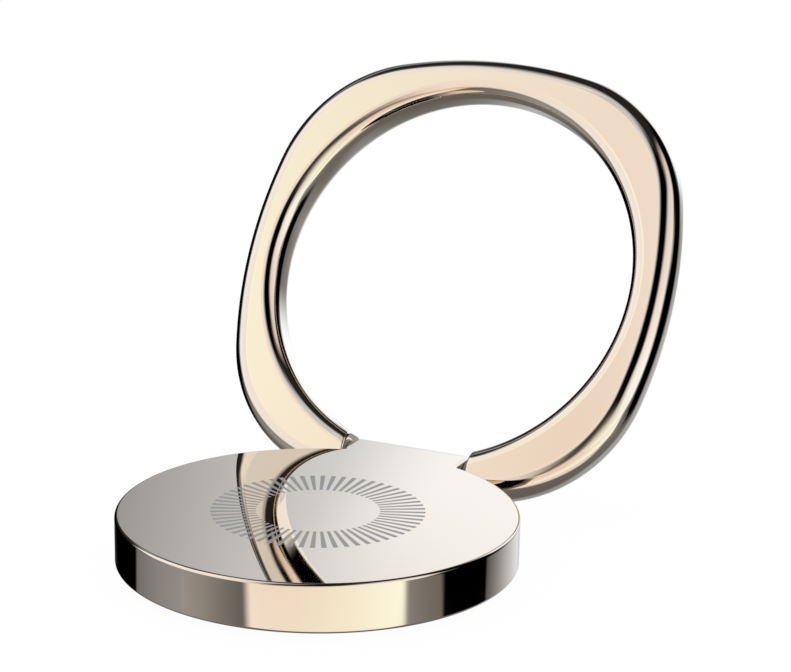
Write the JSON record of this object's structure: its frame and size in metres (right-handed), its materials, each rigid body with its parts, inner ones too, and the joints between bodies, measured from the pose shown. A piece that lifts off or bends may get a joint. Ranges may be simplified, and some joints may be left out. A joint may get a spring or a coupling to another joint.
{
  "type": "phone ring holder",
  "caption": "Polished finger ring hinged to a round disc that swivels on a stuck-down base: a grip and stand for the back of a phone.",
  "frame": {"origin": "on the swivel axis, on the adhesive pad's underside, where it meets the phone", "axes": "+Z out of the phone along the swivel axis, +Y from the disc towards the hinge, X along the hinge pin"},
  "size_m": [0.04, 0.0531, 0.0358],
  "materials": {
    "polished_gold": "polished",
    "hinge_steel": "satin",
    "washer_plastic": "matte",
    "plate_steel": "satin",
    "screw_steel": "satin",
    "bush_plastic": "matte",
    "spring_steel": "satin",
    "pad_foam": "matte"
  },
  "bodies": {
    "base": {"base_plate": "plate_steel", "adhesive_pad": "pad_foam", "swivel_rivet": "hinge_steel", "disc_spring": "spring_steel", "spring_washer": "plate_steel"},
    "housing": {"disc_housing": "polished_gold", "inner_plate": "plate_steel", "inner_plate_screws": "screw_steel", "swivel_bush": "bush_plastic", "hinge_sleeve": "spring_steel"},
    "ring": {"finger_ring": "polished_gold", "hinge_pin": "hinge_steel", "hinge_washer_left": "washer_plastic", "hinge_washer_right": "washer_plastic"}
  },
  "joints": [
    {"name": "swivel", "type": "hinge", "parent": "base", "child": "housing", "pos_m": [0, 0, 0.002], "axis": [0, 0, 1], "continuous": true},
    {"name": "ring_flip", "type": "hinge", "parent": "housing", "child": "ring", "pos_m": [0, 0.01755, 0.0027], "axis": [1, 0, 0], "range_deg": [-60.4, 119.6]}
  ]
}
